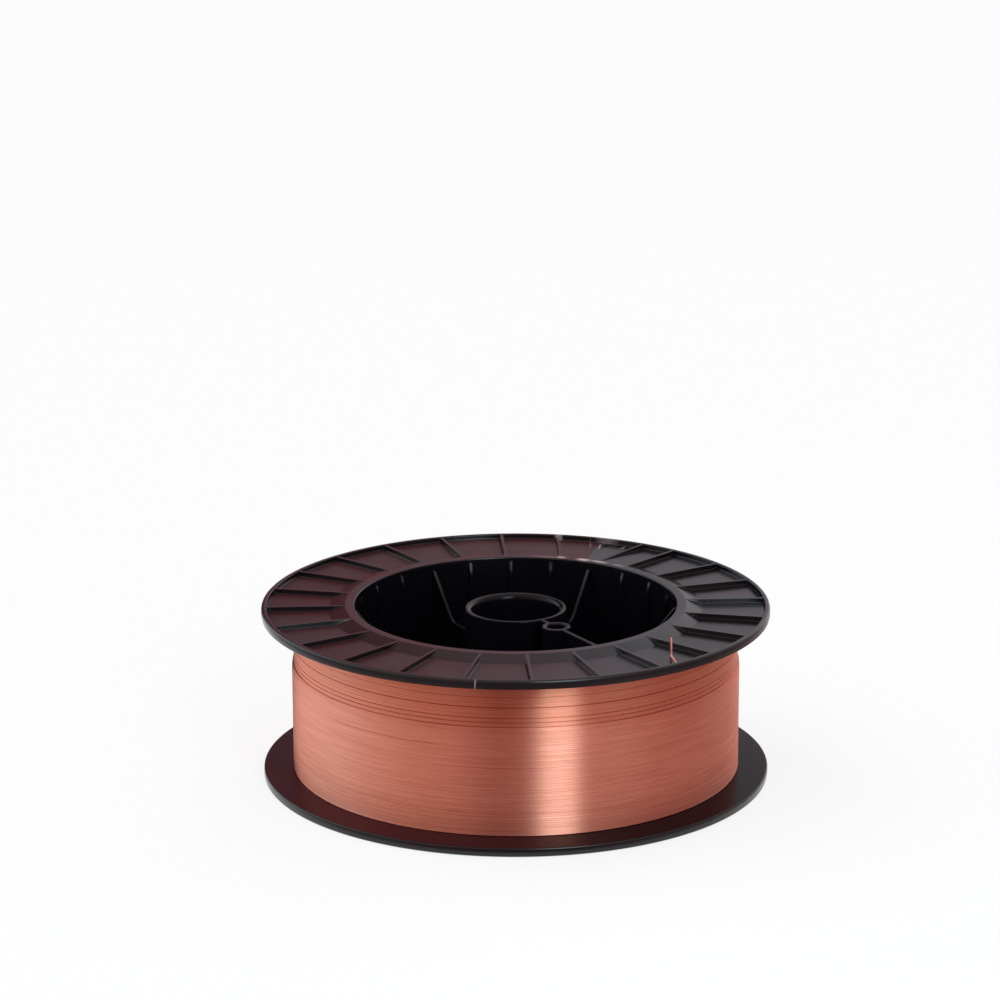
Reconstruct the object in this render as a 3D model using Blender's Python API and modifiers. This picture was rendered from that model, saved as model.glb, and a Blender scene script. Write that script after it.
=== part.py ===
"""Plastic spool of copper-coated welding wire, lying on one flange.

The spool is a single moulding: a barrel between two ribbed flanges, and inside the
barrel a hub tube on six webs, one of which carries the drive socket. The wire is wound
on the barrel, and its free end is bent up through a small hole near the upper rim.

Units are metres. +Z is the spool's axis and z = 0 is the face that it lies on.
"""

import math

import bmesh
import bpy
from mathutils import Matrix, Vector

# Flanges and barrel; the flange height is measured from the barrel to the rim
FLANGE_DIAMETER = 0.298
SPOOL_WIDTH = 0.103
FLANGE_HEIGHT = 0.0514
BARREL_WALL = 0.0032
RIM_WIDTH = 0.0053
ROOT_WIDTH = 0.0071
RIM_WALL = 0.0030
RECESS_DEPTH = 0.0030
LAND_WIDTH = 0.0056
RECESS_SLOPE = 0.0095
EDGE_CHAMFER = 0.0006

# Ribs, the same number on each flange and down the inside of the barrel; the flange's ribs
# stand a little further round than those of the barrel and the webs
RIB_COUNT = 24
RIB_THICKNESS = 0.0018
RIB_DROP = 0.0001
FLANGE_RIB_PHASE = math.radians(3.5)
RIB_PHASE = math.radians(1.8)
WALL_RIB_DEPTH = 0.0020
WALL_RIB_DROP = 0.0030

# Hub tube and webs; every fourth rib position carries a web
HUB_BORE_DIAMETER = 0.0515
HUB_WALL = 0.00385
HUB_DROP = 0.0030
HUB_LEAD_IN = 0.0008
RIBS_PER_WEB = 4
WEB_THICKNESS = 0.0020
WEB_HEIGHT_AT_HUB = 0.0385
WEB_HEIGHT_AT_KNEE = 0.0410
WEB_KNEE_INSET = 0.0228

# Drive socket, on the fifth web
DRIVE_WEB = 5
DRIVE_PITCH_RADIUS = 0.0445
DRIVE_BOSS_DIAMETER = 0.0164
DRIVE_HOLE_DIAMETER = 0.0110

# Wound wire; the margin is the height of bare flange above it
WIRE_DIAMETER = 0.0012
WINDING_MARGIN = 0.0174
WINDING_TAPER = 0.0006
LAST_LAYER_HEIGHT = 0.0070

# Free end of the wire and the hole that holds it
TAIL_HOLE_DIAMETER = 0.0040
TAIL_HOLE_INSET = 0.0033
TAIL_HOLE_ANGLE = math.radians(-50.9)
TAIL_BEND_RADIUS = 0.0015
TAIL_KINK_OFFSET = (-0.0031, 0.0047)
TAIL_KINK_HEIGHT = 0.0010
TAIL_TIP_OFFSET = (-0.0021, 0.0319)
TAIL_TIP_HEIGHT = 0.0025

# Gap between pieces that touch, and how far joined shapes reach into each other
CLEARANCE = 0.0003
OVERLAP = 0.0010

# Facets
DRUM_STEPS = 96
HUB_STEPS = 48
BOSS_STEPS = 24
HOLE_STEPS = 16
TAIL_BEND_STEPS = 4

FLANGE_RADIUS = FLANGE_DIAMETER / 2
BARREL_RADIUS = FLANGE_RADIUS - FLANGE_HEIGHT
BARREL_BORE_RADIUS = BARREL_RADIUS - BARREL_WALL
RIM_INNER_RADIUS = FLANGE_RADIUS - RIM_WALL
LAND_RADIUS = BARREL_BORE_RADIUS + LAND_WIDTH
FLOOR_RADIUS = LAND_RADIUS + RECESS_SLOPE
HALF_WIDTH = SPOOL_WIDTH / 2
HUB_BORE_RADIUS = HUB_BORE_DIAMETER / 2
HUB_RADIUS = HUB_BORE_RADIUS + HUB_WALL
WEB_KNEE_RADIUS = BARREL_BORE_RADIUS - WEB_KNEE_INSET
WINDING_RADIUS = FLANGE_RADIUS - WINDING_MARGIN


def clear_scene():
    """Remove whatever the scene holds."""
    for old in list(bpy.data.objects):
        bpy.data.objects.remove(old, do_unlink=True)


def new_collection(name):
    """Make a collection under the scene's own."""
    collection = bpy.data.collections.new(name)
    bpy.context.scene.collection.children.link(collection)
    return collection


def plain_material(name, colour, roughness, metallic):
    """Make a Principled material with one colour."""
    material = bpy.data.materials.new(name)
    material.use_nodes = True
    shader = material.node_tree.nodes["Principled BSDF"]
    shader.inputs["Base Color"].default_value = (*colour, 1.0)
    shader.inputs["Roughness"].default_value = roughness
    shader.inputs["Metallic"].default_value = metallic
    return material


def add_object(name, mesh, collection):
    """Put a mesh into a collection as an object."""
    item = bpy.data.objects.new(name, mesh)
    collection.objects.link(item)
    return item


def applied(item, collection):
    """Turn an object with modifiers, or a curve, into a welded mesh object."""
    bpy.context.view_layer.update()
    graph = bpy.context.evaluated_depsgraph_get()
    mesh = bpy.data.meshes.new_from_object(item.evaluated_get(graph))
    work = bmesh.new()
    work.from_mesh(mesh)
    bmesh.ops.remove_doubles(work, verts=work.verts, dist=0.00001)
    bmesh.ops.recalc_face_normals(work, faces=work.faces)
    work.to_mesh(mesh)
    work.free()
    mesh.shade_smooth()
    mesh.set_sharp_from_angle(angle=math.radians(30))
    name = item.name
    place = item.matrix_world.copy()
    bpy.data.objects.remove(item, do_unlink=True)
    result = add_object(name, mesh, collection)
    result.matrix_world = place
    return result


def turned(name, profile, steps, collection):
    """Turn a closed loop of (radius, height) points about the Z axis."""
    mesh = bpy.data.meshes.new(name)
    points = [(radius, 0.0, height) for radius, height in profile]
    edges = [(i, (i + 1) % len(points)) for i in range(len(points))]
    mesh.from_pydata(points, edges, [])
    item = add_object(name, mesh, collection)
    screw = item.modifiers.new("turn", "SCREW")
    screw.axis = "Z"
    screw.angle = math.tau
    screw.steps = steps
    screw.render_steps = steps
    screw.use_merge_vertices = True
    screw.merge_threshold = 0.00001
    return applied(item, collection)


def cylinder(name, radius, bottom, top, steps, collection):
    """Make a closed cylinder along Z."""
    mesh = bpy.data.meshes.new(name)
    work = bmesh.new()
    middle = Matrix.Translation((0.0, 0.0, (bottom + top) / 2))
    bmesh.ops.create_cone(work, cap_ends=True, segments=steps, radius1=radius, radius2=radius,
                          depth=top - bottom, matrix=middle)
    work.to_mesh(mesh)
    work.free()
    return add_object(name, mesh, collection)


def plate(name, outline, thickness, collection):
    """Make an upright radial plate from a closed outline of (radius, height) points."""
    curve = bpy.data.curves.new(name, "CURVE")
    curve.dimensions = "2D"
    curve.fill_mode = "BOTH"
    curve.extrude = thickness / 2
    spline = curve.splines.new("POLY")
    spline.points.add(len(outline) - 1)
    for point, (radius, height) in zip(spline.points, outline):
        point.co = (radius, height, 0.0, 1.0)
    spline.use_cyclic_u = True
    return applied(add_object(name, curve, collection), collection)


def copies_about_axis(item, angles, flip_height=None):
    """Stand a radial plate at each angle; flip_height hangs it under that height instead."""
    mesh = item.data
    name = item.name
    collection = item.users_collection[0]
    bpy.data.objects.remove(item, do_unlink=True)
    for number, angle in enumerate(angles):
        copy = add_object(f"{name}_{number}", mesh, collection)
        tilt = math.pi / 2 if flip_height is None else -math.pi / 2
        copy.rotation_euler = (tilt, 0.0, angle)
        copy.location.z = 0.0 if flip_height is None else flip_height


def mark_as_tools(collection):
    """Show a collection's objects as wires, and keep them out of the render."""
    for item in collection.objects:
        item.hide_render = True
        item.display_type = "WIRE"
    collection.hide_render = True


def boolean_with(item, operation, collection):
    """Join an object with a collection's shapes, or cut them from it."""
    modifier = item.modifiers.new(operation.lower(), "BOOLEAN")
    modifier.operation = operation
    modifier.solver = "EXACT"
    modifier.operand_type = "COLLECTION"
    modifier.collection = collection


def flange_thickness(radius):
    """Width of a flange from its outer face to its winding side, which has draft."""
    share = (FLANGE_RADIUS - radius) / (FLANGE_RADIUS - BARREL_RADIUS)
    return RIM_WIDTH + (ROOT_WIDTH - RIM_WIDTH) * share


def rib_angle(number, phase=RIB_PHASE):
    """Angle of a rib about the axis."""
    return phase + number * math.tau / RIB_COUNT


def drum_profile():
    """Section of the barrel and both flanges, outer side from top to bottom."""
    upper_face = [
        (BARREL_BORE_RADIUS, HALF_WIDTH - EDGE_CHAMFER),
        (BARREL_BORE_RADIUS + EDGE_CHAMFER, HALF_WIDTH),
        (LAND_RADIUS, HALF_WIDTH),
        (FLOOR_RADIUS, HALF_WIDTH - RECESS_DEPTH),
        (RIM_INNER_RADIUS, HALF_WIDTH - RECESS_DEPTH),
        (RIM_INNER_RADIUS, HALF_WIDTH),
        (FLANGE_RADIUS - EDGE_CHAMFER, HALF_WIDTH),
        (FLANGE_RADIUS, HALF_WIDTH - EDGE_CHAMFER),
        (FLANGE_RADIUS, HALF_WIDTH - RIM_WIDTH + EDGE_CHAMFER),
        (FLANGE_RADIUS - EDGE_CHAMFER, HALF_WIDTH - RIM_WIDTH),
        (BARREL_RADIUS, HALF_WIDTH - ROOT_WIDTH),
    ]
    lower_face = [(radius, -height) for radius, height in reversed(upper_face)]
    return [(radius, height + HALF_WIDTH) for radius, height in upper_face + lower_face]


def add_ribs(collection):
    """Ribs in both flange recesses, and down the barrel between the webs."""
    angles = [rib_angle(number, FLANGE_RIB_PHASE) for number in range(RIB_COUNT)]
    inner = LAND_RADIUS - OVERLAP
    outer = RIM_INNER_RADIUS + RIM_WALL / 2
    base = -RECESS_DEPTH - OVERLAP
    outline = [(inner, base), (outer, base), (outer, -RIB_DROP), (inner, -RIB_DROP)]
    lower = plate("lower_rib", outline, RIB_THICKNESS, collection)
    copies_about_axis(lower, angles, flip_height=0.0)
    outline = [(radius, SPOOL_WIDTH + height) for radius, height in outline]
    upper = plate("upper_rib", outline, RIB_THICKNESS, collection)
    copies_about_axis(upper, angles)

    inner = BARREL_BORE_RADIUS - WALL_RIB_DEPTH
    outer = BARREL_BORE_RADIUS + OVERLAP
    top = SPOOL_WIDTH - WALL_RIB_DROP
    outline = [(inner, WALL_RIB_DROP), (outer, WALL_RIB_DROP), (outer, top), (inner, top)]
    between_webs = [rib_angle(number) for number in range(RIB_COUNT) if number % RIBS_PER_WEB]
    copies_about_axis(plate("wall_rib", outline, RIB_THICKNESS, collection), between_webs)


def add_webs(collection):
    """Webs from hub to barrel: flared ones, and the full-height one at the drive socket."""
    inner = HUB_BORE_RADIUS + HUB_WALL / 2
    outer = BARREL_BORE_RADIUS + OVERLAP
    flare = [
        (inner, WEB_HEIGHT_AT_HUB / 2),
        (WEB_KNEE_RADIUS, WEB_HEIGHT_AT_KNEE / 2),
        (BARREL_BORE_RADIUS, HALF_WIDTH - WALL_RIB_DROP),
        (outer, HALF_WIDTH - WALL_RIB_DROP),
    ]
    outline = flare + [(radius, -height) for radius, height in reversed(flare)]
    outline = [(radius, HALF_WIDTH + height) for radius, height in outline]
    web_numbers = range(RIB_COUNT // RIBS_PER_WEB)
    angles = [rib_angle(n * RIBS_PER_WEB) for n in web_numbers if n != DRIVE_WEB]
    copies_about_axis(plate("web", outline, WEB_THICKNESS, collection), angles)

    top = SPOOL_WIDTH - HUB_DROP - RIB_DROP
    low = HUB_DROP + RIB_DROP
    outline = [(inner, low), (outer, low), (outer, top), (inner, top)]
    drive_web = plate("drive_web", outline, WEB_THICKNESS, collection)
    copies_about_axis(drive_web, [rib_angle(DRIVE_WEB * RIBS_PER_WEB)])


def drive_centre():
    """Centre of the drive socket, on its web."""
    angle = rib_angle(DRIVE_WEB * RIBS_PER_WEB)
    return Vector((math.cos(angle), math.sin(angle), 0.0)) * DRIVE_PITCH_RADIUS


def tail_hole_centre():
    """Centre of the small hole near the rim that holds the wire's free end."""
    radius = RIM_INNER_RADIUS - TAIL_HOLE_INSET
    direction = Vector((math.cos(TAIL_HOLE_ANGLE), math.sin(TAIL_HOLE_ANGLE), 0.0))
    return direction * radius


def make_spool(parts, joined, cut):
    """The whole moulding."""
    add_ribs(joined)
    add_webs(joined)
    low = HUB_DROP
    top = SPOOL_WIDTH - HUB_DROP
    cylinder("hub", HUB_RADIUS, low, top, HUB_STEPS, joined)
    boss = cylinder("drive_boss", DRIVE_BOSS_DIAMETER / 2, low, top, BOSS_STEPS, joined)
    boss.location = drive_centre()

    bore = HUB_BORE_RADIUS
    past = OVERLAP
    bore_profile = [
        (bore + HUB_LEAD_IN + past, top + past),
        (bore, top - HUB_LEAD_IN),
        (bore, low + HUB_LEAD_IN),
        (bore + HUB_LEAD_IN + past, low - past),
    ]
    # The axis closes the loop, so the cutter is solid
    bore_profile += [(0.0, low - past), (0.0, top + past)]
    turned("hub_bore", bore_profile, HUB_STEPS, cut)
    drive_hole = cylinder("drive_hole", DRIVE_HOLE_DIAMETER / 2, 0.0, SPOOL_WIDTH,
                          BOSS_STEPS, cut)
    drive_hole.location = drive_centre()
    tail_hole = cylinder("tail_hole", TAIL_HOLE_DIAMETER / 2, SPOOL_WIDTH - ROOT_WIDTH - OVERLAP,
                         SPOOL_WIDTH, HOLE_STEPS, cut)
    tail_hole.location = tail_hole_centre()
    mark_as_tools(joined)
    mark_as_tools(cut)

    spool = turned("spool", drum_profile(), DRUM_STEPS, parts)
    boolean_with(spool, "UNION", joined)
    boolean_with(spool, "DIFFERENCE", cut)
    spool.data.materials.append(plain_material("black_plastic", (0.045, 0.038, 0.042), 0.45, 0.0))
    return spool


def make_winding(parts):
    """The wound wire: it fills the barrel between the flanges, with a part-wound last layer."""
    inner = BARREL_RADIUS + CLEARANCE
    outer = WINDING_RADIUS
    outer_top = outer - WINDING_TAPER
    last_layer = outer + WIRE_DIAMETER * math.cos(math.radians(30))
    last_turn = flange_thickness(last_layer) + CLEARANCE + LAST_LAYER_HEIGHT
    profile = [
        (outer_top, SPOOL_WIDTH - flange_thickness(outer_top) - CLEARANCE),
        (outer, HALF_WIDTH),
        (outer, last_turn),
        (last_layer, last_turn - WIRE_DIAMETER / 2),
        (last_layer, flange_thickness(last_layer) + CLEARANCE),
        (inner, flange_thickness(inner) + CLEARANCE),
        (inner, SPOOL_WIDTH - flange_thickness(inner) - CLEARANCE),
    ]
    winding = turned("wire_winding", profile, DRUM_STEPS, parts)
    copper = plain_material("copper_coated_wire", (0.62, 0.27, 0.18), 0.35, 1.0)
    winding.data.materials.append(copper)
    return winding


def rounded_route(corners, radius, steps):
    """Points along straight runs between corners, with an arc at each inner corner."""
    points = [corners[0]]
    for before, corner, after in zip(corners, corners[1:], corners[2:]):
        into = (corner - before).normalized()
        out = (after - corner).normalized()
        half_turn = into.angle(out) / 2
        reach = radius * math.tan(half_turn)
        start = corner - into * reach
        towards_centre = (out - into).normalized()
        centre = corner + towards_centre * (radius / math.cos(half_turn))
        axis = into.cross(out).normalized()
        for step in range(steps + 1):
            spin = Matrix.Rotation(2 * half_turn * step / steps, 3, axis)
            points.append(centre + spin @ (start - centre))
    points.append(corners[-1])
    return points


def tail_route():
    """Corners of the wire's free end, from the last turn to the tip."""
    hole = tail_hole_centre()
    wire = WIRE_DIAMETER / 2
    leave_radius = WINDING_RADIUS + CLEARANCE + wire
    back = math.acos(leave_radius / hole.length)
    leave_angle = TAIL_HOLE_ANGLE - back
    under = SPOOL_WIDTH - flange_thickness(hole.length) - CLEARANCE - wire
    leave_height = SPOOL_WIDTH - flange_thickness(leave_radius) - CLEARANCE - wire
    leave = Vector((math.cos(leave_angle), math.sin(leave_angle), 0.0)) * leave_radius
    leave.z = leave_height
    below_hole = Vector((hole.x, hole.y, under))
    above_floor = Vector((hole.x, hole.y, SPOOL_WIDTH - RECESS_DEPTH + wire))
    kink = Vector((hole.x + TAIL_KINK_OFFSET[0], hole.y + TAIL_KINK_OFFSET[1],
                   SPOOL_WIDTH + TAIL_KINK_HEIGHT))
    tip = Vector((hole.x + TAIL_TIP_OFFSET[0], hole.y + TAIL_TIP_OFFSET[1],
                  SPOOL_WIDTH + TAIL_TIP_HEIGHT))
    return [leave, below_hole, above_floor, kink, tip]


def make_tail(parts):
    """The free end of the wire."""
    curve = bpy.data.curves.new("wire_end", "CURVE")
    curve.dimensions = "3D"
    curve.bevel_depth = WIRE_DIAMETER / 2
    curve.bevel_resolution = 2
    curve.use_fill_caps = True
    points = rounded_route(tail_route(), TAIL_BEND_RADIUS, TAIL_BEND_STEPS)
    spline = curve.splines.new("POLY")
    spline.points.add(len(points) - 1)
    for point, place in zip(spline.points, points):
        point.co = (*place, 1.0)
    tail = applied(add_object("wire_end", curve, parts), parts)
    copper = plain_material("copper_coated_wire_end", (0.62, 0.27, 0.18), 0.3, 1.0)
    tail.data.materials.append(copper)
    return tail


clear_scene()
part_collection = new_collection("welding_wire_spool")
joined_shapes = new_collection("spool_joined_shapes")
cut_shapes = new_collection("spool_cut_shapes")
make_spool(part_collection, joined_shapes, cut_shapes)
make_winding(part_collection)
make_tail(part_collection)
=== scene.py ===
"""Looks of a plastic spool of copper-coated welding wire, lying on its lower flange.

The sections follow the object as it is put together: the spool's moulding, the wire wound
on it, and the free end of the wire.
"""

import math

import bmesh
import bpy
import numpy as np
from mathutils import Matrix, Vector


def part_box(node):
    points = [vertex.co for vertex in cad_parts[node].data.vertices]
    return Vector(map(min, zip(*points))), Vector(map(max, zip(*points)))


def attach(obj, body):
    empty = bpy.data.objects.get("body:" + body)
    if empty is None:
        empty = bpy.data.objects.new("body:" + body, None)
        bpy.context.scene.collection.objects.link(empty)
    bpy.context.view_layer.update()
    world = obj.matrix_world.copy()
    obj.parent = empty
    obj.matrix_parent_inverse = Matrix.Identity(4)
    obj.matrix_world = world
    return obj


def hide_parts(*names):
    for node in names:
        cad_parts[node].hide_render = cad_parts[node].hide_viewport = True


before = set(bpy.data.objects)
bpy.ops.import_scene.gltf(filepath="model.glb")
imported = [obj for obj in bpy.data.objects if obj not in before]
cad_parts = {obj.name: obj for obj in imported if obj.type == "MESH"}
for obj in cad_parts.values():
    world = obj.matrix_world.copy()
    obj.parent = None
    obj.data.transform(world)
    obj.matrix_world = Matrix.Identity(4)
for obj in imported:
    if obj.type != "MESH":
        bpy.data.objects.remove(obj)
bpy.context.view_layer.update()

# Camera
# A long lens a little over two metres away, looking down on the spool, which sits low in
# the picture. Its turn away from the spool's centre is given as yaw, pitch and roll.
MM = 0.001
spool_low, spool_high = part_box("spool")
spool_width = spool_high.z - spool_low.z
spool_centre = Vector((0.0, 0.0, spool_width / 2))

camera_distance = 2180.4 * MM
camera_elevation = math.radians(18.2)
yaw, pitch, roll = [math.radians(angle) for angle in (0.24, 2.88, -0.06)]

camera_data = bpy.data.cameras.new("camera")
camera_data.sensor_width = 36.0
camera_data.lens = 132.8
camera_data.clip_start = 0.05
camera_data.clip_end = 100.0
camera = bpy.data.objects.new("camera", camera_data)
bpy.context.scene.collection.objects.link(camera)
to_camera = Vector((0.0, -math.cos(camera_elevation), math.sin(camera_elevation)))
aim = (-to_camera).to_track_quat("-Z", "Y").to_matrix().to_4x4()
turn = Matrix.Rotation(yaw, 4, "Y") @ Matrix.Rotation(pitch, 4, "X") @ Matrix.Rotation(roll, 4, "Z")
camera.matrix_world = Matrix.Translation(spool_centre + to_camera * camera_distance) @ aim @ turn
bpy.context.scene.camera = camera
bpy.context.scene.view_settings.view_transform = "Standard"


# Studio
# A white sweep that keeps a pale soft shadow, and one narrow upright softbox right of the
# camera. The room is bright on the left, and dim and warm in front; the wire mirrors its
# walls, and the camera looks through them at the white background.
def add_node(tree, kind, sockets=None, **settings):
    """Add a node, set its properties, and fill or link its inputs."""
    made = tree.nodes.new(kind)
    for name, value in settings.items():
        setattr(made, name, value)
    for name, value in (sockets or {}).items():
        if isinstance(value, bpy.types.NodeSocket):
            tree.links.new(value, made.inputs[name])
        else:
            made.inputs[name].default_value = value
    return made


def linear(hex_colour):
    """An sRGB hex colour as linear RGBA."""
    values = [int(hex_colour[i:i + 2], 16) / 255 for i in (1, 3, 5)]
    return (*[v / 12.92 if v <= 0.04045 else ((v + 0.055) / 1.055) ** 2.4 for v in values], 1.0)


def fill_ramp(ramp, stops):
    """Give a colour ramp these stops, each a position with a grey level or a hex colour."""
    while len(ramp.elements) > 1:
        ramp.elements.remove(ramp.elements[-1])
    for number, (position, level) in enumerate(stops):
        stop = ramp.elements[0] if number == 0 else ramp.elements.new(position)
        stop.position = position
        stop.color = linear(level) if isinstance(level, str) else (level, level, level, 1.0)


def link_object(name, data):
    """Put an object into the scene."""
    item = bpy.data.objects.new(name, data)
    bpy.context.scene.collection.objects.link(item)
    return item


# Colour of the room's wall by direction, as (degrees to the right of the camera, colour)
wall_colours = [
    (-180, "#a0989f"), (-172, "#847780"), (-168, "#2c1c22"), (-147, "#2c1c22"), (-143, "#f8fcff"),
    (-100, "#f8fcff"), (-76, "#ead7d2"), (-51, "#d3b2a3"), (-29, "#cca49a"), (-8, "#9b6f66"),
    (12, "#a3746b"), (30, "#c4978e"), (44, "#d0b4ae"), (74, "#b3877f"), (112, "#b7a09c"),
    (128, "#c0b4b6"), (150, "#eef0f2"), (170, "#b4adb3"), (180, "#a0989f"),
]
room_radius = 3.0
room_height = 3.2
ceiling_colour = "#c4c2c5"
ceiling_share = 0.92
# Strengths of the room: its even light on all faces, and its walls as gloss mirrors them
room_light_level = 1.85
wall_level = 1.28
# The room's walls start as a sheet just over the floor, in the spool's shade at its inner
# edge. A grey mat on it is what the rims mirror: it fades in and out at these distances.
sheet_radius = 155.0 * MM
sheet_height = 1.0 * MM
sheet_shade = 0.50
shade_reach = 0.35
mat_colour = "#625e68"
mat_edges = (0.40, 0.45, 0.65, 0.80)


def room_colour(tree, direction):
    """Colour of the room in a direction, by its angle round the spool."""
    across = add_node(tree, "ShaderNodeSeparateXYZ", {"Vector": direction})
    towards = add_node(tree, "ShaderNodeMath", {0: across.outputs["Y"], 1: -1.0}, operation="MULTIPLY")
    azimuth = add_node(tree, "ShaderNodeMath", {0: across.outputs["X"], 1: towards.outputs[0]},
                       operation="ARCTAN2")
    share = add_node(tree, "ShaderNodeMapRange", {
        "Value": azimuth.outputs[0], "From Min": -math.pi, "From Max": math.pi})
    ramp = add_node(tree, "ShaderNodeValToRGB", {"Fac": share.outputs["Result"]})
    fill_ramp(ramp.color_ramp, [((degrees + 180) / 360, colour) for degrees, colour in wall_colours])
    return ramp.outputs["Color"]


def sees_background(tree):
    """1 for the rays that show the background: the camera's own, mirrored and refracted ones."""
    path = add_node(tree, "ShaderNodeLightPath")
    either = add_node(tree, "ShaderNodeMath", {
        0: path.outputs["Is Camera Ray"], 1: path.outputs["Is Glossy Ray"]}, operation="MAXIMUM")
    return add_node(tree, "ShaderNodeMath", {
        0: either.outputs[0], 1: path.outputs["Is Transmission Ray"]}, operation="MAXIMUM").outputs[0]


world = bpy.data.worlds.new("studio")
bpy.context.scene.world = world
world.use_nodes = True
world.cycles.sampling_method = "NONE"
tree = world.node_tree
tree.nodes.clear()
outwards = add_node(tree, "ShaderNodeTexCoord").outputs["Generated"]
grey = add_node(tree, "ShaderNodeRGBToBW", {"Color": room_colour(tree, outwards)})
room_light = add_node(tree, "ShaderNodeBackground", {
    "Color": grey.outputs["Val"], "Strength": room_light_level})
white = add_node(tree, "ShaderNodeBackground", {"Color": (1.0, 1.0, 1.0, 1.0), "Strength": 1.0})
background = add_node(tree, "ShaderNodeMixShader", {
    "Fac": sees_background(tree), 1: room_light.outputs[0], 2: white.outputs[0]})
add_node(tree, "ShaderNodeOutputWorld", {"Surface": background.outputs[0]})


def grid_object(name, points):
    """A closed mesh from a grid of points[row][column] that joins up both ways."""
    rows, columns, _ = points.shape
    row = np.arange(rows)[:, None]
    column = np.arange(columns)[None, :]
    next_row, next_column = (row + 1) % rows, (column + 1) % columns
    faces = np.stack([row * columns + column, row * columns + next_column,
                      next_row * columns + next_column, next_row * columns + column], axis=-1)
    faces = faces.reshape(-1, 4).astype(np.int32)
    mesh = bpy.data.meshes.new(name)
    mesh.vertices.add(rows * columns)
    mesh.vertices.foreach_set("co", points.reshape(-1).astype(np.float32))
    mesh.loops.add(faces.size)
    mesh.loops.foreach_set("vertex_index", faces.reshape(-1))
    mesh.polygons.add(len(faces))
    mesh.polygons.foreach_set("loop_start", np.arange(0, faces.size, 4, dtype=np.int32))
    mesh.update(calc_edges=True)
    work = bmesh.new()
    work.from_mesh(mesh)
    bmesh.ops.remove_doubles(work, verts=work.verts, dist=0.001 * MM)
    bmesh.ops.recalc_face_normals(work, faces=work.faces)
    work.to_mesh(mesh)
    work.free()
    return link_object(name, mesh)


def turned(name, section, columns, centre=(0.0, 0.0)):
    """Turn a closed loop of (radius, height) points about an upright axis."""
    angles = np.arange(columns) * math.tau / columns
    radius = np.array([point[0] for point in section])[:, None]
    height = np.array([point[1] for point in section])[:, None] + 0.0 * angles
    points = np.stack([centre[0] + radius * np.cos(angles), centre[1] + radius * np.sin(angles), height],
                      axis=-1)
    return grid_object(name, points)


room = turned("studio_room", [
    (sheet_radius, sheet_height), (room_radius, sheet_height), (room_radius, room_height),
    (0.0, room_height), (0.0, room_height + 1.0 * MM),
    (room_radius + 1.0 * MM, room_height + 1.0 * MM), (room_radius + 1.0 * MM, sheet_height / 2),
    (sheet_radius, sheet_height / 2)], 96)
paint = bpy.data.materials.new("painted_studio_wall")
paint.use_nodes = True
paint.cycles.emission_sampling = "NONE"
tree = paint.node_tree
tree.nodes.clear()
place = add_node(tree, "ShaderNodeTexCoord").outputs["Object"]
height = add_node(tree, "ShaderNodeSeparateXYZ", {"Vector": place}).outputs["Z"]
to_ceiling = add_node(tree, "ShaderNodeMapRange", {
    "Value": height, "From Min": ceiling_share * room_height, "From Max": room_height})
reach = add_node(tree, "ShaderNodeVectorMath", {0: place}, operation="LENGTH").outputs["Value"]
in_spool_shade = add_node(tree, "ShaderNodeMapRange", {
    "Value": reach, "From Min": sheet_radius, "From Max": shade_reach,
    "To Min": sheet_shade, "To Max": 1.0})
walls = add_node(tree, "ShaderNodeMix", {
    "Factor": 1.0, 6: room_colour(tree, place), 7: in_spool_shade.outputs["Result"]},
    data_type="RGBA", blend_type="MULTIPLY")
on_mat = add_node(tree, "ShaderNodeValToRGB", {"Fac": reach})
fill_ramp(on_mat.color_ramp, list(zip(mat_edges, (0.0, 1.0, 1.0, 0.0))))
with_mat = add_node(tree, "ShaderNodeMix", {
    "Factor": on_mat.outputs["Color"], 6: walls.outputs[2], 7: linear(mat_colour)}, data_type="RGBA")
with_ceiling = add_node(tree, "ShaderNodeMix", {
    "Factor": to_ceiling.outputs["Result"], 6: with_mat.outputs[2], 7: linear(ceiling_colour)},
    data_type="RGBA")
glow = add_node(tree, "ShaderNodeEmission", {"Color": with_ceiling.outputs[2], "Strength": wall_level})
add_node(tree, "ShaderNodeOutputMaterial", {"Surface": glow.outputs[0]})
room.data.materials.append(paint)
room.visible_camera = False
room.visible_diffuse = False
room.visible_transmission = False
room.visible_shadow = False


# The softbox's azimuth is measured to the right of the camera
softbox_azimuth = math.radians(21.2)
softbox_elevation = math.radians(24.0)
softbox_distance = 2.2
softbox_level = 4.3
softbox = bpy.data.lights.new("narrow_softbox", "AREA")
softbox.shape = "RECTANGLE"
softbox.size = 0.68
softbox.size_y = 1.80
softbox.color = linear("#e6ffff")[:3]
softbox.energy = softbox_level * math.pi * softbox.size * softbox.size_y
lamp = link_object("narrow_softbox", softbox)
lamp.visible_camera = False
towards_lamp = Vector((math.sin(softbox_azimuth) * math.cos(softbox_elevation),
                       -math.cos(softbox_azimuth) * math.cos(softbox_elevation),
                       math.sin(softbox_elevation)))
lamp.location = spool_centre + towards_lamp * softbox_distance
lamp.rotation_euler = (-towards_lamp).to_track_quat("-Z", "Y").to_euler()

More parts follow.
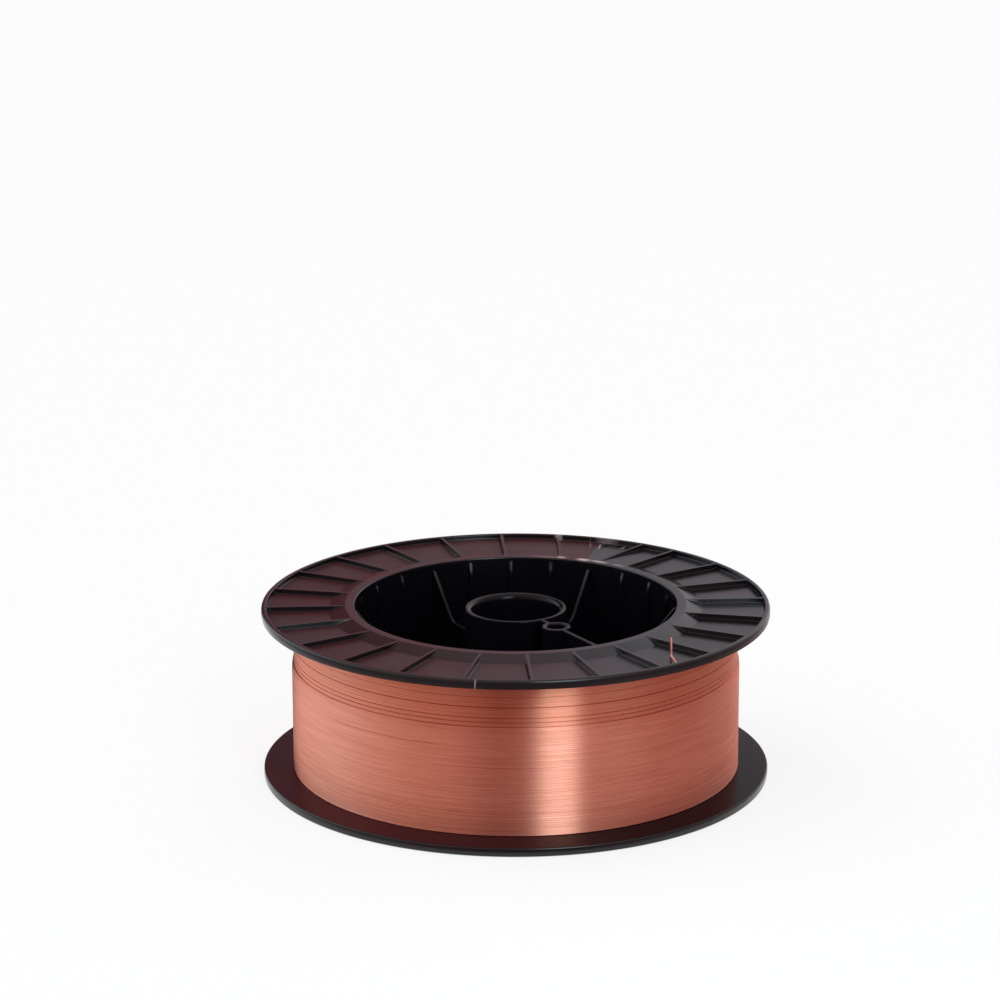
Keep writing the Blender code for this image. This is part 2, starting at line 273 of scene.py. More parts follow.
# The floor is white paper, which the camera sees mostly as the bright background. No white
# shows in the dark under the spool.
paper_radius = 14.0
white_share = 0.8
dark_radius = sheet_radius - 10.0 * MM
floor_mesh = bpy.data.meshes.new("floor")
work = bmesh.new()
bmesh.ops.create_circle(work, cap_ends=True, segments=96, radius=paper_radius)
work.to_mesh(floor_mesh)
work.free()
floor = link_object("floor", floor_mesh)
floor.location.z = -0.2 * MM
sweep = bpy.data.materials.new("white_paper_sweep")
sweep.use_nodes = True
tree = sweep.node_tree
tree.nodes.clear()
paper = add_node(tree, "ShaderNodeBsdfDiffuse", {"Color": linear("#f8f8f8")})
glow = add_node(tree, "ShaderNodeEmission", {"Color": (1.0, 1.0, 1.0, 1.0), "Strength": 1.0})
place = add_node(tree, "ShaderNodeTexCoord").outputs["Object"]
reach = add_node(tree, "ShaderNodeVectorMath", {0: place}, operation="LENGTH").outputs["Value"]
in_the_open = add_node(tree, "ShaderNodeMath", {0: reach, 1: dark_radius}, operation="GREATER_THAN")
shown = add_node(tree, "ShaderNodeMath", {0: sees_background(tree), 1: in_the_open.outputs[0]},
                 operation="MULTIPLY")
share = add_node(tree, "ShaderNodeMath", {0: shown.outputs[0], 1: white_share}, operation="MULTIPLY")
mixed = add_node(tree, "ShaderNodeMixShader", {
    "Fac": share.outputs[0], 1: paper.outputs[0], 2: glow.outputs[0]})
add_node(tree, "ShaderNodeOutputMaterial", {"Surface": mixed.outputs[0]})
floor_mesh.materials.append(sweep)


# Spool
# One injection moulding in black high-impact polystyrene: a barrel between two ribbed
# flanges, and inside it a hub tube on six webs, one of which carries the drive socket. The
# edges have the small radii that a mould leaves.
flange_radius = spool_high.x
half_width = spool_width / 2
sharp_edge = math.radians(48)
bore_radius = 94.4 * MM
barrel_radius = 97.6 * MM
rim_width = 5.3 * MM
root_width = 7.1 * MM
rim_wall = 3.0 * MM
recess_depth = 3.0 * MM
land_radius = 100.0 * MM
floor_radius = 109.5 * MM
rib_count = 24
rib_phase = math.radians(1.8)
flange_rib_phase = math.radians(3.5)
rib_drop = 0.1 * MM
wall_rib_depth = 2.0 * MM
wall_rib_drop = 3.0 * MM
ribs_per_web = 4
rim_inner = flange_radius - rim_wall
sector = math.tau / rib_count
# The ribs run a little into the land and the rim
rib_start = land_radius - 1.0 * MM
rib_end = rim_inner + 0.3 * MM
rib_turn_end = land_radius - 1.5 * MM


def rounded(corners, steps=3):
    """A path through (x, y, radius) corners, with an arc of that radius at each."""
    points = []
    for number, (x, y, radius) in enumerate(corners):
        here = Vector((x, y))
        if radius == 0.0:
            points.append((x, y))
            continue
        into = (here - Vector(corners[number - 1][:2])).normalized()
        out = (Vector(corners[(number + 1) % len(corners)][:2]) - here).normalized()
        half_turn = into.angle(out) / 2
        start = here - into * radius * math.tan(half_turn)
        centre = here + (out - into).normalized() * radius / math.cos(half_turn)
        spin = 2 * half_turn if into.x * out.y - into.y * out.x > 0 else -2 * half_turn
        for step in range(steps + 1):
            points.append(tuple(centre + Matrix.Rotation(spin * step / steps, 2) @ (start - centre)))
    return points


# Section of the upper flange and half the barrel, from the opening outwards. The first rows
# follow the end of the ribs down the barrel's inside.
wall_rib_end = half_width - wall_rib_drop
wall_rib_rows = [(-9.0 * MM, 1.0), (-6.0 * MM, 0.90), (-3.5 * MM, 0.65), (-1.5 * MM, 0.35), (0.0, 0.0)]
upper_section = [(bore_radius, wall_rib_end + rise) for rise, _ in wall_rib_rows]
upper_section += rounded([
    (bore_radius, half_width - 2.0 * MM, 0.0),
    (bore_radius, half_width, 0.7 * MM),
    (land_radius, half_width, 2.0 * MM),
    ((land_radius + floor_radius) / 2, half_width - recess_depth / 2, 0.0),
    (floor_radius, half_width - recess_depth, 5.0 * MM),
    (flange_radius - 16.0 * MM, half_width - recess_depth, 0.0),
    (rim_inner, half_width - recess_depth, 0.6 * MM),
    (rim_inner, half_width, 0.5 * MM),
    (flange_radius, half_width, 1.3 * MM),
    (flange_radius, half_width - rim_width, 0.9 * MM),
    (flange_radius - 12.0 * MM, half_width - rim_width - 0.42 * MM, 0.0),
    (barrel_radius, half_width - root_width, 1.5 * MM),
    (barrel_radius, half_width - 20.0 * MM, 0.0),
])
section = upper_section + [(r, -z) for r, z in reversed(upper_section)]

# Columns of the mesh by their distance from a rib's middle, with how far the rib's rounded
# edge has dropped there, and how high the radius at its foot stands
rib_top = [(0.0, 0.0), (0.65 * MM, 0.0), (0.85 * MM, 0.07 * MM), (0.92 * MM, 0.26 * MM)]
rib_foot = [(1.00 * MM, 0.40 * MM), (1.12 * MM, 0.18 * MM), (1.40 * MM, 0.04 * MM), (1.90 * MM, 0.0)]
columns_between_ribs = 6


# A blow near the back left two of the upper flange's ribs bent and worn: at each of these
# radii, how many degrees round a rib is pushed, and the share of its height that is left
bent_radii = [bore_radius, land_radius, 117.0 * MM, rim_inner]
bent_ribs = {
    4: ([0.0, -1.0, -2.5, -6.0], [1.0, 0.0, 0.1, 1.0]),
    5: ([0.0, -4.0, -2.1, 1.4], [1.0, 0.4, 0.5, 0.5]),
}


def bend(number, radius, height):
    """How far round a rib is pushed, in radians, and the share of its height that is left."""
    if height < 0.0 or number % rib_count not in bent_ribs:
        return 0.0, 1.0
    degrees, left = bent_ribs[number % rib_count]
    return math.radians(np.interp(radius, bent_radii, degrees)), np.interp(radius, bent_radii, left)


def rib_height(lateral, full_height):
    """Height of a rib above its floor at a distance from its middle."""
    if lateral <= rib_top[-1][0]:
        drop = np.interp(lateral, [d for d, _ in rib_top], [h for _, h in rib_top])
        return max(0.0, full_height - drop)
    foot = np.interp(lateral, [d for d, _ in rib_foot], [h for _, h in rib_foot])
    return max(0.0, min(full_height, foot))


def drum_point(radius, height, number, lateral, share=0.0):
    """A point of the drum beside a rib, or part of the way from its foot to the next rib."""
    above = abs(height)
    r = radius
    # The flanges' ribs stand a little further round than those in the opening
    on_land = (radius - bore_radius) / (rib_turn_end - bore_radius)
    phase = rib_phase + (flange_rib_phase - rib_phase) * min(1.0, max(0.0, on_land))
    push, left = bend(number, radius, height)
    if share == 0.0:
        depth = half_width - above
        if rib_start < radius < rib_end and depth < recess_depth + 0.01 * MM:
            above += left * rib_height(abs(lateral), max(0.0, depth - rib_drop))
        elif radius == bore_radius and number % ribs_per_web:
            ends = [wall_rib_end + rise for rise, _ in wall_rib_rows]
            shares = [part for _, part in wall_rib_rows]
            r -= np.interp(above, ends, shares) * rib_height(abs(lateral), wall_rib_depth)
    angle = phase + number * sector + push + math.asin(lateral / r)
    if share:
        reach = math.asin(rib_foot[-1][0] / radius)
        gap = sector + bend(number + 1, radius, height)[0] - push - 2 * reach
        angle += reach + gap * share
    return (r * math.cos(angle), r * math.sin(angle), half_width + math.copysign(above, height))


def drum_points():
    """Points of the barrel and flanges, with the ribs raised on their faces."""
    half = [d for d, _ in rib_top + rib_foot]
    laterals = [-d for d in reversed(half[1:])] + half
    shares = [step / (columns_between_ribs + 1) for step in range(1, columns_between_ribs + 1)]
    return np.array([
        [point for number in range(rib_count) for point in
         [drum_point(radius, height, number, lateral) for lateral in laterals]
         + [drum_point(radius, height, number, 0.0, share) for share in shares]]
        for radius, height in section])


# Hub tube, webs and drive socket
hub_radius = 29.6 * MM
hub_bore_radius = 25.75 * MM
hub_drop = 3.0 * MM
hub_lead_in = 2.6 * MM
web_thickness = 2.0 * MM
web_edge = 0.5 * MM
web_height_at_hub = 38.5 * MM
web_height_at_knee = 41.0 * MM
web_knee_radius = 71.6 * MM
drive_web = 5
drive_pitch_radius = 44.5 * MM
drive_boss_radius = 8.2 * MM
drive_hole_radius = 5.5 * MM
drive_mouth_radius = 6.3 * MM
tail_hole_radius = 2.0 * MM
tail_hole_angle = math.radians(-50.9)
tail_hole_reach = rim_inner - 3.3 * MM
tail_hole_low = spool_width - root_width - 1.0 * MM
into_wall = 1.0 * MM


def polar(radius, angle):
    """A point on the ground from its radius and angle."""
    return (radius * math.cos(angle), radius * math.sin(angle))


def mirrored(path):
    """A path of (radius, height above the middle), joined to its mirror image below."""
    whole = path + [(r, -z) for r, z in reversed(path)]
    return [(r, half_width + z) for r, z in whole]


def web(name, top_edge, number):
    """An upright radial web with rounded edges, from the upper half of its outline."""
    work = bmesh.new()
    corners = [work.verts.new((r, -web_thickness / 2, z)) for r, z in mirrored(top_edge)]
    side = work.faces.new(corners)
    rim = list(side.edges)
    pulled = bmesh.ops.extrude_face_region(work, geom=[side])["geom"]
    moved = [item for item in pulled if isinstance(item, bmesh.types.BMVert)]
    rim += [item for item in pulled if isinstance(item, bmesh.types.BMEdge)]
    bmesh.ops.translate(work, verts=moved, vec=(0.0, web_thickness, 0.0))
    bmesh.ops.bevel(work, geom=rim, offset=web_edge, segments=3, profile=0.5, affect="EDGES")
    bmesh.ops.recalc_face_normals(work, faces=work.faces)
    mesh = bpy.data.meshes.new(name)
    work.to_mesh(mesh)
    work.free()
    item = link_object(name, mesh)
    item.rotation_euler.z = rib_phase + number * ribs_per_web * sector
    return item


drum = grid_object("spool_moulding", drum_points())
hub_top = half_width - hub_drop
joined = bpy.data.collections.new("joined_to_drum")
cut = bpy.data.collections.new("cut_from_drum")
additions = [turned("hub", mirrored(rounded([
    (hub_bore_radius, hub_top - 4.0 * MM, 0.0),
    (hub_bore_radius, hub_top, hub_lead_in),
    (hub_radius, hub_top, 0.6 * MM),
    (hub_radius, hub_top - 4.0 * MM, 0.0)])), 128)]
web_inner = (hub_bore_radius + hub_radius) / 2
flare = rounded([
    (web_inner, web_height_at_hub / 2, 0.0),
    (web_knee_radius, web_height_at_knee / 2, 9.0 * MM),
    (bore_radius - 1.2 * MM, wall_rib_end - 1.5 * MM, 1.2 * MM),
    (bore_radius + into_wall, wall_rib_end - 1.0 * MM, 0.0)], steps=5)
drive_edge = [(web_inner, hub_top - rib_drop), (bore_radius + into_wall, hub_top - rib_drop)]
for number in range(rib_count // ribs_per_web):
    edge = drive_edge if number == drive_web else flare
    additions.append(web(f"web_{number}", edge, number))
drive_place = polar(drive_pitch_radius, rib_phase + drive_web * ribs_per_web * sector)
additions.append(turned("drive_boss", mirrored(rounded([
    (0.0, hub_top, 0.0), (drive_boss_radius, hub_top, 0.5 * MM),
    (drive_boss_radius, hub_top - 3.0 * MM, 0.0)])), 48, drive_place))
tools = [
    turned("drive_hole", mirrored([
        (0.0, hub_top + 1.0 * MM), (drive_mouth_radius + 0.6 * MM, hub_top + 1.0 * MM),
        (drive_mouth_radius, hub_top), (drive_hole_radius + 0.2 * MM, hub_top - 0.4 * MM),
        (drive_hole_radius, hub_top - 0.9 * MM)]), 40, drive_place),
    turned("tail_hole", [
        (0.0, tail_hole_low), (tail_hole_radius, tail_hole_low),
        (tail_hole_radius, spool_width), (0.0, spool_width)], 32, polar(tail_hole_reach, tail_hole_angle)),
]
for collection, members in ((joined, additions), (cut, tools)):
    for member in members:
        collection.objects.link(member)
for operation, collection in (("UNION", joined), ("DIFFERENCE", cut)):
    modifier = drum.modifiers.new(operation.lower(), "BOOLEAN")
    modifier.operation = operation
    modifier.solver = "EXACT"
    modifier.operand_type = "COLLECTION"
    modifier.collection = collection


def apply_modifiers(item):
    """Turn an object's modifiers into its own mesh."""
    bpy.context.view_layer.update()
    graph = bpy.context.evaluated_depsgraph_get()
    mesh = bpy.data.meshes.new_from_object(item.evaluated_get(graph))
    item.modifiers.clear()
    item.data = mesh


apply_modifiers(drum)
drum.data.shade_smooth()
drum.data.set_sharp_from_angle(angle=sharp_edge)
# Flat faces stay flat beside their rounded edges
flat_faces = drum.modifiers.new("flat_faces", "WEIGHTED_NORMAL")
flat_faces.keep_sharp = True
apply_modifiers(drum)
for member in additions + tools:
    bpy.data.objects.remove(member, do_unlink=True)
bpy.data.collections.remove(joined)
bpy.data.collections.remove(cut)

# Moulded black polystyrene: nearly black, with the soft gloss that a finely eroded mould
# leaves. A reddish-brown tone, with a red sheen and less gloss, lies on the faces that lie flat,
# from a hard edge near the back round to the front; the rest of the lower flange has little of
# it, and the parts in the opening a share. Lengths in the nodes are in millimetres.
warm_tone_edge = math.radians(76.2)
warm_tone_pivot = (19.2, 0.0, 0.0)
warm_tone_fade = (math.radians(-15.0), math.radians(50.0))
low_heights = (8.0, 12.0)
low_warm_tone = 0.12
flat_enough = (0.80, 0.97)
patch_size = 35.0
opening_edge = (80.0, 92.0)
opening_warm_tone = 0.3
grain_size = 0.35
plastic = bpy.data.materials.new("moulded_black_polystyrene")
plastic.use_nodes = True
tree = plastic.node_tree
surface = tree.nodes["Principled BSDF"]
surface.inputs["IOR"].default_value = 1.59
place = add_node(tree, "ShaderNodeTexCoord").outputs["Object"]
in_mm = add_node(tree, "ShaderNodeVectorMath", {0: place, "Scale": 1000.0}, operation="SCALE").outputs[0]
from_edge = add_node(tree, "ShaderNodeVectorMath", {0: in_mm, 1: warm_tone_pivot}, operation="SUBTRACT")
turned_place = add_node(tree, "ShaderNodeVectorRotate", {
    "Vector": from_edge.outputs[0], "Angle": math.pi - warm_tone_edge}, rotation_type="Z_AXIS")
sides = add_node(tree, "ShaderNodeSeparateXYZ", {"Vector": turned_place.outputs[0]})
past_edge = add_node(tree, "ShaderNodeMath", {0: sides.outputs["Y"], 1: sides.outputs["X"]},
                     operation="ARCTAN2")
warm_tone_round = add_node(tree, "ShaderNodeMapRange", {
    "Value": past_edge.outputs[0], "From Min": warm_tone_fade[0], "From Max": warm_tone_fade[1],
    "To Min": 1.0, "To Max": 0.0}, interpolation_type="SMOOTHSTEP")
low_down = add_node(tree, "ShaderNodeMapRange", {
    "Value": sides.outputs["Z"], "From Min": low_heights[0], "From Max": low_heights[1],
    "To Min": 1.0, "To Max": 0.0})
warm_tone_below = add_node(tree, "ShaderNodeMath", {0: low_down.outputs["Result"], 1: low_warm_tone},
                       operation="MULTIPLY")
warm_tone_place = add_node(tree, "ShaderNodeMath", {
    0: warm_tone_round.outputs["Result"], 1: warm_tone_below.outputs[0]}, operation="MAXIMUM")
facing = add_node(tree, "ShaderNodeSeparateXYZ", {
    "Vector": add_node(tree, "ShaderNodeNewGeometry").outputs["Normal"]})
flatness = add_node(tree, "ShaderNodeMath", {0: facing.outputs["Z"]}, operation="ABSOLUTE")
on_faces = add_node(tree, "ShaderNodeMapRange", {
    "Value": flatness.outputs[0], "From Min": flat_enough[0], "From Max": flat_enough[1]})
patches = add_node(tree, "ShaderNodeTexNoise", {
    "Vector": in_mm, "Scale": 1 / patch_size, "Detail": 5.0, "Roughness": 0.55})
patchy = add_node(tree, "ShaderNodeMapRange", {
    "Value": patches.outputs["Fac"], "From Min": 0.3, "From Max": 0.7, "To Min": 0.65, "To Max": 1.0})
on_ground = add_node(tree, "ShaderNodeVectorMath", {0: in_mm, 1: (1.0, 1.0, 0.0)}, operation="MULTIPLY")
from_axis = add_node(tree, "ShaderNodeVectorMath", {0: on_ground.outputs[0]}, operation="LENGTH")
on_flanges = add_node(tree, "ShaderNodeMapRange", {
    "Value": from_axis.outputs["Value"], "From Min": opening_edge[0], "From Max": opening_edge[1],
    "To Min": opening_warm_tone, "To Max": 1.0})
warm_tone = None
for share in (warm_tone_place.outputs[0], on_faces.outputs["Result"], patchy.outputs["Result"],
              on_flanges.outputs["Result"]):
    warm_tone = share if warm_tone is None else add_node(
        tree, "ShaderNodeMath", {0: warm_tone, 1: share}, operation="MULTIPLY").outputs[0]

# The blow left stress-whitened burrs along the opening, a nick in the rim and a crease, whose
# dark line is painted shade of its fold and of the foot of the rim wall, and something scratched
# the front of the rim. All of it is on the upper flange, between 94 and 110 mm high. A noise of
# 2 mm makes its edges ragged.
ragged_size = 2.0
ragged_shift = 1.6
spot_middle = 102.0
spot_half_height = 8.0
ragged = add_node(tree, "ShaderNodeTexNoise", {"Vector": in_mm, "Scale": 1 / ragged_size, "Detail": 3.0})
ragged_place = add_node(tree, "ShaderNodeVectorMath", {
    0: ragged.outputs["Color"], 1: (ragged_shift, ragged_shift, 0.0), 2: in_mm},
    operation="MULTIPLY_ADD")


def spot_mask(spots):
    """Share of ragged spots: (x, y, turn in degrees, half length, half width, strength), in mm."""
    mask = 0.0
    for x, y, degrees, half_length, half_width, strength in spots:
        local = add_node(tree, "ShaderNodeMapping", {
            "Vector": ragged_place.outputs[0],
            "Location": (x + ragged_shift / 2, y + ragged_shift / 2, spot_middle),
            "Rotation": (0.0, 0.0, math.radians(degrees)),
            "Scale": (half_length, half_width, spot_half_height)}, vector_type="TEXTURE")
        away = add_node(tree, "ShaderNodeVectorMath", {0: local.outputs[0]}, operation="LENGTH")
        spot = add_node(tree, "ShaderNodeMapRange", {
            "Value": away.outputs["Value"], "From Min": 0.4, "From Max": 1.2,
            "To Min": strength, "To Max": 0.0})
        mask = add_node(tree, "ShaderNodeMath", {0: mask, 1: spot.outputs["Result"]},
                        operation="MAXIMUM").outputs[0]
    return mask


whitened = spot_mask([
    (20.0, 95.0, -12.0, 11.0, 0.9, 0.35), (27.8, 94.0, -16.0, 3.2, 2.0, 0.8),
    (41.4, 89.0, -24.0, 4.6, 3.0, 1.0), (51.0, 84.6, -31.0, 6.5, 2.2, 0.75),
    (62.5, 76.5, -40.0, 5.0, 1.2, 0.45), (27.0, 143.5, -35.0, 2.8, 1.6, 0.5),
    (46.6, 132.0, 90.0, 6.5, 0.5, 0.35), (52.2, 128.0, 81.0, 5.5, 0.9, 0.6),
    (66.4, 124.5, 60.0, 3.0, 1.2, 0.45), (57.0, 134.8, -23.0, 8.0, 1.0, 0.3),
    (-22.3, -147.3, 80.0, 2.5, 0.5, 0.35),
])
# Spots of the crease, drawn without gloss: painted shade of its fold and of the foot of the rim wall
crease_painted_shade = spot_mask([
    (56.2, 128.5, 56.0, 7.5, 1.7, 1.0), (64.0, 127.0, -20.0, 4.0, 1.5, 0.7),
])
sound_colour = add_node(tree, "ShaderNodeMix", {
    "Factor": warm_tone, 6: linear("#0b0a10"), 7: linear("#200f13")}, data_type="RGBA")
colour = add_node(tree, "ShaderNodeMix", {
    "Factor": whitened, 6: sound_colour.outputs[2], 7: linear("#c0a8ac")}, data_type="RGBA")
tree.links.new(colour.outputs[2], surface.inputs["Base Color"])
# Gloss is dulled by the reddish-brown tone, and as much in the opening. The lower flange is
# duller still, and the crease has none, which makes it a dark line of painted shade.
in_opening = add_node(tree, "ShaderNodeMapRange", {
    "Value": from_axis.outputs["Value"], "From Min": opening_edge[0], "From Max": opening_edge[1],
    "To Min": 1.0, "To Max": 0.0})
dull = add_node(tree, "ShaderNodeMath", {0: warm_tone, 1: in_opening.outputs["Result"]}, operation="MAXIMUM")
gloss = add_node(tree, "ShaderNodeMapRange", {
    "Value": dull.outputs[0], "To Min": 0.37, "To Max": 0.14})
low_face = add_node(tree, "ShaderNodeMath", {
    0: low_down.outputs["Result"], 1: on_faces.outputs["Result"]}, operation="MULTIPLY")
gloss_below = add_node(tree, "ShaderNodeMapRange", {
    "Value": low_face.outputs[0], "To Min": gloss.outputs["Result"], "To Max": 0.05})
gloss_left = add_node(tree, "ShaderNodeMapRange", {
    "Value": crease_painted_shade, "To Min": gloss_below.outputs["Result"], "To Max": 0.0})
tree.links.new(gloss_left.outputs["Result"], surface.inputs["Specular IOR Level"])
rough = add_node(tree, "ShaderNodeMapRange", {"Value": warm_tone, "To Min": 0.22, "To Max": 0.40})
tree.links.new(rough.outputs["Result"], surface.inputs["Roughness"])
# The reddish-brown tone also shows as a red sheen, most at a low angle
warm_sheen = add_node(tree, "ShaderNodeMapRange", {"Value": warm_tone, "To Max": 0.14})
tree.links.new(warm_sheen.outputs["Result"], surface.inputs["Sheen Weight"])
surface.inputs["Sheen Tint"].default_value = linear("#ff7078")
# The eroded mould leaves a grain of about a third of a millimetre
grain = add_node(tree, "ShaderNodeTexNoise", {
    "Vector": in_mm, "Scale": 1 / grain_size, "Detail": 2.0, "Roughness": 0.5})
bump = add_node(tree, "ShaderNodeBump", {
    "Height": grain.outputs["Fac"], "Strength": 0.06, "Distance": 0.05 * MM})
tree.links.new(bump.outputs["Normal"], surface.inputs["Normal"])
drum.data.materials.clear()
drum.data.materials.append(plastic)
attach(drum, "root")
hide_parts("spool")


# Wound wire
# Fifteen kilograms of 1.2 mm steel wire with a thin copper coating, wound turn against turn
# between the flanges. The last layer stops below the upper flange, where looser turns of the
# layer under it show, and small gaps between turns show as lines round the winding.
wire_radius = 0.6 * MM
winding_radius = 131.6 * MM
gap_to_flange = 0.3 * MM
layer_step = 2 * wire_radius * math.cos(math.radians(30))
# The last layer stops at this height, and its top few turns have sunk a little
last_layer_top = 70.0 * MM
settled_width = 5.0 * MM
settled_share = 0.4
winding_columns = 168
# Each turn is drawn as the outermost arc of the wire, this far to either side, stretched to
# nearly the full width of a turn: at full depth the lines between turns would flicker
shown_arc = math.radians(16.0)
turn_fill = 0.92
turn_scatter = 0.012 * MM
groove_depth = 0.012 * MM
# Where two turns stand further apart than this, the groove between them deepens by this much
# for each millimetre more
open_gap = 0.14 * MM
gap_slope = 2.2
# A gap's width dies away over a few turns, and over a few degrees at its ends
gap_spread = 3.0
gap_fade = 6.0
# Gaps between turns, as (height in mm, width in mm, from angle, to angle)
gaps = [
    (91.5, 0.22, -180, 180), (87.5, 0.30, -180, 180), (84.0, 0.24, -180, 180), (80.9, 0.72, -180, 180),
    (79.6, 0.30, -180, 180), (77.4, 0.30, -180, 180), (75.0, 0.62, -180, 180), (72.7, 0.60, -180, 180),
    (70.0, 0.46, -180, 180), (58.7, 0.34, -146, -107), (46.5, 0.24, -115, -75),
    (33.0, 0.14, -180, 180), (27.0, 0.17, -180, 180), (20.0, 0.22, -180, 180), (16.5, 0.17, -180, 180),
]


def flange_width(radius):
    """Width of a flange from its outer face to its winding side, which has draft."""
    share = (flange_radius - radius) / (flange_radius - barrel_radius)
    return rim_width + (root_width - rim_width) * share


def winding_points():
    """Points of the winding: five rows round the outside of each turn and one between turns."""
    chance = np.random.default_rng(12)
    angles = np.arange(winding_columns) * math.tau / winding_columns
    low = flange_width(winding_radius) + gap_to_flange
    high = spool_width - low
    turns = int((high - low) / (2 * wire_radius))
    spare = (high - low) - turns * 2 * wire_radius
    looseness = chance.random(turns)
    offsets = np.concatenate([[0.0], np.cumsum(looseness)[:-1]]) * spare / looseness.sum()
    heights = low + wire_radius + np.arange(turns) * 2 * wire_radius + offsets
    rows = []
    for number, middle in enumerate(heights):
        above = middle > last_layer_top
        settled = np.clip((middle - last_layer_top) / settled_width + 1.0, 0.0, 1.0)
        outer = winding_radius - (layer_step if above else settled_share * layer_step * settled ** 2)
        centre = outer - wire_radius + chance.normal(0.0, turn_scatter)
        wave = 0.03 * MM * np.sin(3 * angles + chance.random() * 1.2) + 0.02 * MM * np.sin(
            7 * angles + 5.0 + chance.random())
        lift = 0.0 * angles
        for gap_height, gap_width, start, end in gaps:
            away = (middle - gap_height * MM) / (2 * wire_radius)
            azimuth = (np.degrees(angles) + 180) % 360 - 180
            within = 1.0
            if end - start < 360:
                within = np.clip(np.minimum(azimuth - start, end - azimuth) / gap_fade, 0.0, 1.0)
            lift = lift + within * gap_width * MM / 2 * np.sign(away) * math.exp(-abs(away) / gap_spread)
        for angle in (-shown_arc, -shown_arc / 2, 0.0, shown_arc / 2, shown_arc):
            radius = centre + wire_radius * math.cos(angle) + wave
            height = middle + wire_radius * turn_fill * math.sin(angle) / math.sin(shown_arc) + lift
            rows.append((radius, height))
        if number + 1 < len(heights):
            rows.append((None, None))
    # The rows between turns follow from the turns on either side
    whole = []
    for number, (radius, height) in enumerate(rows):
        if height is None:
            apart = rows[number + 1][1] - rows[number - 1][1]
            height = (rows[number - 1][1] + rows[number + 1][1]) / 2
            radius = np.minimum(rows[number - 1][0], rows[number + 1][0]) - groove_depth
            radius = radius - gap_slope * np.maximum(apart - open_gap, 0.0)
        whole.append((radius, np.clip(height, low, high)))
    inner = barrel_radius + gap_to_flange
    foot = flange_width(inner) + gap_to_flange
    whole += [(inner, spool_width - foot), (inner, foot)]
    return np.array([
        np.stack([radius * np.cos(angles), radius * np.sin(angles), height + 0 * angles], axis=-1)
        for radius, height in whole])


winding = grid_object("wound_wire", winding_points())
winding.data.shade_smooth()
winding.data.set_sharp_from_angle(angle=math.radians(60))

# Drawn steel wire with a bright copper coating: a satin metal. The die leaves lines along the
# wire, so that it scatters light across itself far more than along. Its streaks are 33 mm
# long and as high as one turn, the finest that still show.
streak_scale = (0.03, 0.03, 0.8)
copper = bpy.data.materials.new("drawn_copper_coated_steel")
copper.use_nodes = True
tree = copper.node_tree
surface = tree.nodes["Principled BSDF"]
surface.inputs["Metallic"].default_value = 1.0
place = add_node(tree, "ShaderNodeTexCoord").outputs["Object"]
in_mm = add_node(tree, "ShaderNodeVectorMath", {0: place, "Scale": 1000.0}, operation="SCALE").outputs[0]
across = add_node(tree, "ShaderNodeTangent", direction_type="RADIAL", axis="Z")
tree.links.new(across.outputs["Tangent"], surface.inputs["Tangent"])
surface.inputs["Anisotropic"].default_value = 1.0
surface.inputs["Anisotropic Rotation"].default_value = 0.25
along = add_node(tree, "ShaderNodeMapping", {"Vector": in_mm, "Scale": streak_scale})
streaks = add_node(tree, "ShaderNodeTexNoise", {
    "Vector": along.outputs[0], "Scale": 1.0, "Detail": 1.0, "Roughness": 0.5})
clean = add_node(tree, "ShaderNodeValToRGB", {"Fac": streaks.outputs["Fac"]})
fill_ramp(clean.color_ramp, [(0.30, "#eba28d"), (0.55, "#f2a995"), (0.75, "#f6b09e")])
# The looser turns above the last layer are painted a little darker: painted shade of the recess under the
# upper flange
height = add_node(tree, "ShaderNodeSeparateXYZ", {"Vector": in_mm}).outputs["Z"]
painted_shade_band = add_node(tree, "ShaderNodeValToRGB", {"Fac": add_node(tree, "ShaderNodeMapRange", {
    "Value": height, "From Max": 100.0}).outputs["Result"]})
fill_ramp(painted_shade_band.color_ramp, [(0.695, 0.0), (0.705, 0.9), (0.96, 0.9), (0.97, 0.0)])
tint = add_node(tree, "ShaderNodeMix", {
    "Factor": painted_shade_band.outputs["Color"], 6: clean.outputs["Color"], 7: linear("#e79b83")}, data_type="RGBA")
tree.links.new(tint.outputs[2], surface.inputs["Base Color"])
rough = add_node(tree, "ShaderNodeMapRange", {
    "Value": streaks.outputs["Fac"], "From Min": 0.3, "From Max": 0.7, "To Min": 0.43, "To Max": 0.39})
tree.links.new(rough.outputs["Result"], surface.inputs["Roughness"])
surface.inputs["Specular Tint"].default_value = linear("#f6d2ca")
winding.data.materials.append(copper)
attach(winding, "root")
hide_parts("wire_winding")


# Wire end
# The free end of the same wire, passed up through the small hole near the rim and bent
# inwards over the flange. Its cut tip shows the bare steel.
tail_bend_radius = 1.5 * MM
tail_bend_steps = 8
tail_sides = 20
# Its kink and its tip, from the place over the hole at the upper flange's face
tail_kink = (-3.1 * MM, 4.7 * MM, 1.0 * MM)
tail_tip = (-2.1 * MM, 31.9 * MM, 2.5 * MM)
hole = Vector((*polar(tail_hole_reach, tail_hole_angle), 0.0))
leave_radius = winding_radius + gap_to_flange + wire_radius
leave_angle = tail_hole_angle - math.acos(leave_radius / hole.length)
leave = Vector((*polar(leave_radius, leave_angle), 0.0))
leave.z = spool_width - flange_width(leave_radius) - gap_to_flange - wire_radius
under = spool_width - flange_width(hole.length) - gap_to_flange - wire_radius
tail_corners = [
    leave,
    Vector((hole.x, hole.y, under)),
    Vector((hole.x, hole.y, spool_width - recess_depth + wire_radius)),
]
tail_corners += [Vector((hole.x + x, hole.y + y, spool_width + z)) for x, y, z in (tail_kink, tail_tip)]


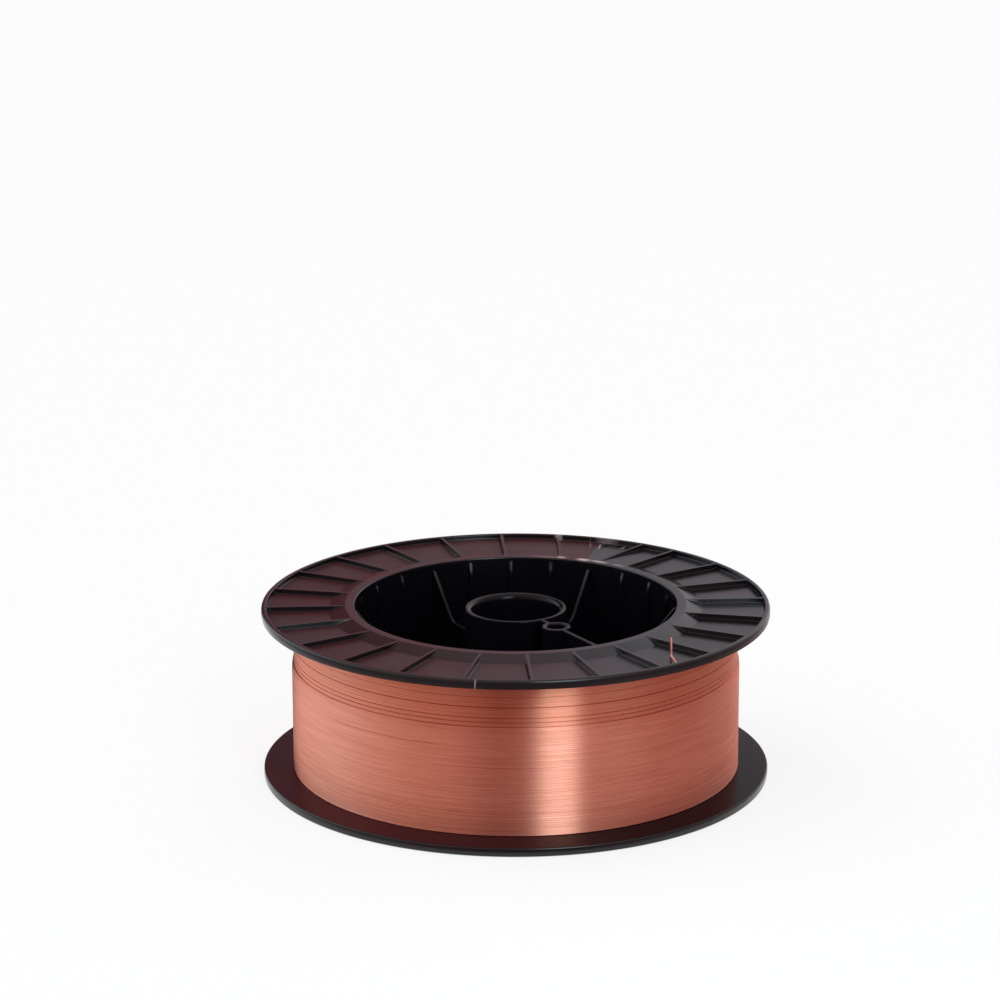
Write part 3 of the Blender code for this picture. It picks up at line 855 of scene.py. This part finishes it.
def bent_path(corners, radius, steps):
    """Straight runs between corners, with an arc at each inner corner."""
    points = [corners[0]]
    for before, corner, after in zip(corners, corners[1:], corners[2:]):
        into = (corner - before).normalized()
        out = (after - corner).normalized()
        half_turn = into.angle(out) / 2
        start = corner - into * radius * math.tan(half_turn)
        centre = corner + (out - into).normalized() * radius / math.cos(half_turn)
        axis = into.cross(out).normalized()
        for step in range(steps + 1):
            points.append(centre + Matrix.Rotation(2 * half_turn * step / steps, 3, axis) @ (start - centre))
    points.append(corners[-1])
    return points


def wire_mesh(name, path, radius):
    """A round wire along a path, with flat ends, of which the last is its bare tip."""
    work = bmesh.new()
    rings = []
    across = Vector((0.0, 0.0, 1.0))
    befores = path[:1] + path[:-1]
    afters = path[1:] + path[-1:]
    for point, before, after in zip(path, befores, afters):
        tangent = (after - before).normalized()
        across = (across - tangent * across.dot(tangent)).normalized()
        beside = tangent.cross(across)
        ring = []
        for side in range(tail_sides):
            angle = math.tau * side / tail_sides
            outwards = across * math.cos(angle) + beside * math.sin(angle)
            ring.append(work.verts.new(point + outwards * radius))
        rings.append(ring)
    for ring, after in zip(rings, rings[1:]):
        for side in range(tail_sides):
            beyond = (side + 1) % tail_sides
            work.faces.new((ring[side], ring[beyond], after[beyond], after[side]))
    work.faces.new(reversed(rings[0]))
    tip = work.faces.new(rings[-1])
    tip.material_index = 1
    mesh = bpy.data.meshes.new(name)
    work.to_mesh(mesh)
    work.free()
    mesh.shade_smooth()
    mesh.set_sharp_from_angle(angle=math.radians(50))
    return link_object(name, mesh)


tail = wire_mesh("free_wire_end", bent_path(tail_corners, tail_bend_radius, tail_bend_steps), wire_radius)
# The sheared tip is bare steel, grey and half bright
steel = bpy.data.materials.new("sheared_steel")
steel.use_nodes = True
surface = steel.node_tree.nodes["Principled BSDF"]
surface.inputs["Base Color"].default_value = linear("#b4b2b0")
surface.inputs["Metallic"].default_value = 1.0
surface.inputs["Roughness"].default_value = 0.4
tail.data.materials.append(copper)
tail.data.materials.append(steel)
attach(tail, "root")
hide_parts("wire_end")
